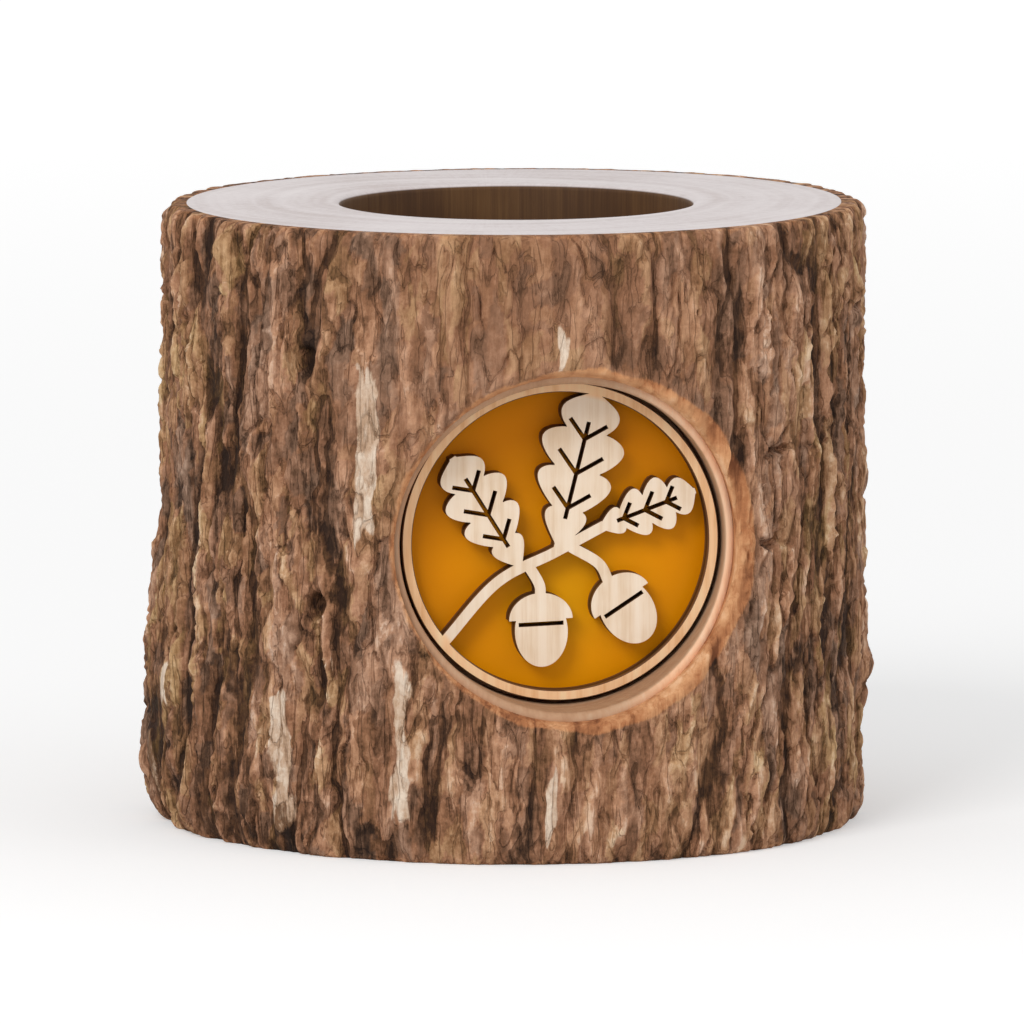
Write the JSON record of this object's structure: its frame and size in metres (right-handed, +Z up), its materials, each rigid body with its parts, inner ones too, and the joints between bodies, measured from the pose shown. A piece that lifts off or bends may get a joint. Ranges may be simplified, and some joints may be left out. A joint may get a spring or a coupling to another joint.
{
  "type": "tealight holder",
  "caption": "Bark-covered log slice with a well for a tealight and a round side window, closed by an amber pane behind a fretwork disc of oak leaves and acorns.",
  "frame": {"origin": "on the underside, on the axis of the tealight's well", "axes": "+Z up along the well's axis; -Y out through the middle of the window, so the holder faces -Y; +X to the right as the window is seen from in front"},
  "size_m": [0.104, 0.0989, 0.088],
  "materials": {
    "sapwood": "sanded end grain and bored walls, untreated",
    "bark": "natural furrowed bark, dry and matt",
    "amber_acrylic": "translucent amber sheet, satin",
    "birch_plywood": "smooth pale face, edges burnt brown by the cutting beam",
    "aluminium_foil": "thin drawn sheet with a rolled rim",
    "paraffin_wax": "cast white wax",
    "cotton_wick": "braided cotton, waxed",
    "tinplate": "thin stamped sheet"
  },
  "bodies": {
    "holder": {"wood_core": "sapwood", "bark": "bark", "amber_pane": "amber_acrylic", "motif_disc": "birch_plywood"},
    "tealight": {"tealight_cup": "aluminium_foil", "tealight_wax": "paraffin_wax", "tealight_wick": "cotton_wick", "wick_foot": "tinplate"}
  },
  "joints": [
    {"name": "tealight_lift", "type": "slide", "parent": "holder", "child": "tealight", "axis": [0, 0, 1], "range_m": [0, 0.09]}
  ]
}
